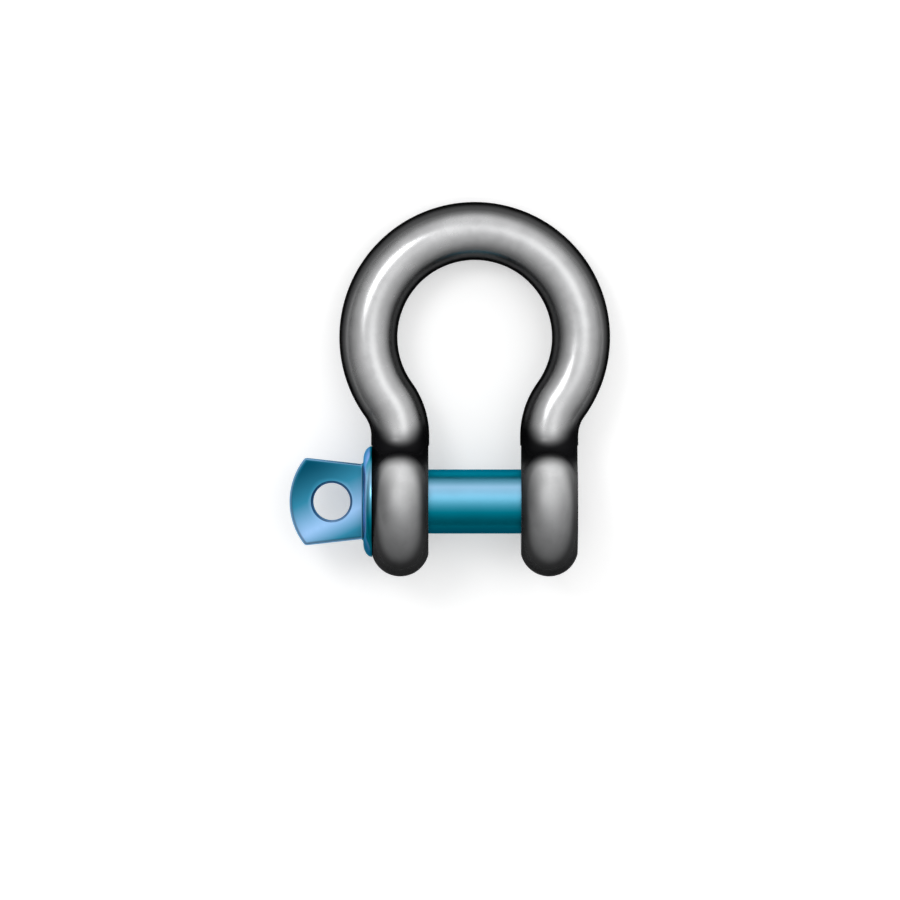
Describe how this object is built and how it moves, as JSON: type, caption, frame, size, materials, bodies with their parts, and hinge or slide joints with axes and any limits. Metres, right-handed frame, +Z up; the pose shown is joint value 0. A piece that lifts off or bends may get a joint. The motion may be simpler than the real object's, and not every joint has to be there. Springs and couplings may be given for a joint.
{
  "type": "screw pin bow shackle",
  "caption": "Forged bow shackle with round ears and a removable screw pin that has a collar and a flat tab with an eye, for joining chain, rope and lifting gear.",
  "frame": {"origin": "on the pin's axis, midway between the ears; the shackle lies on its side, on both ears and the crown, and the floor is 29.06 mm below the origin", "axes": "+X along the pin from its tab to its threaded end, +Y from the pin to the crown, +Z up; the bow's plane dips 7.96 degrees towards the crown"},
  "size_m": [0.1398, 0.1622, 0.0589],
  "materials": {
    "galvanised_steel": "satin",
    "blue_pin": "gloss"
  },
  "bodies": {
    "bow": {"bow": "galvanised_steel"},
    "pin": {"screw_pin": "blue_pin"}
  },
  "joints": [
    {"name": "pin_withdraw", "type": "slide", "parent": "bow", "child": "pin", "axis": [-1, 0, 0], "range_m": [0, 0.095]}
  ]
}
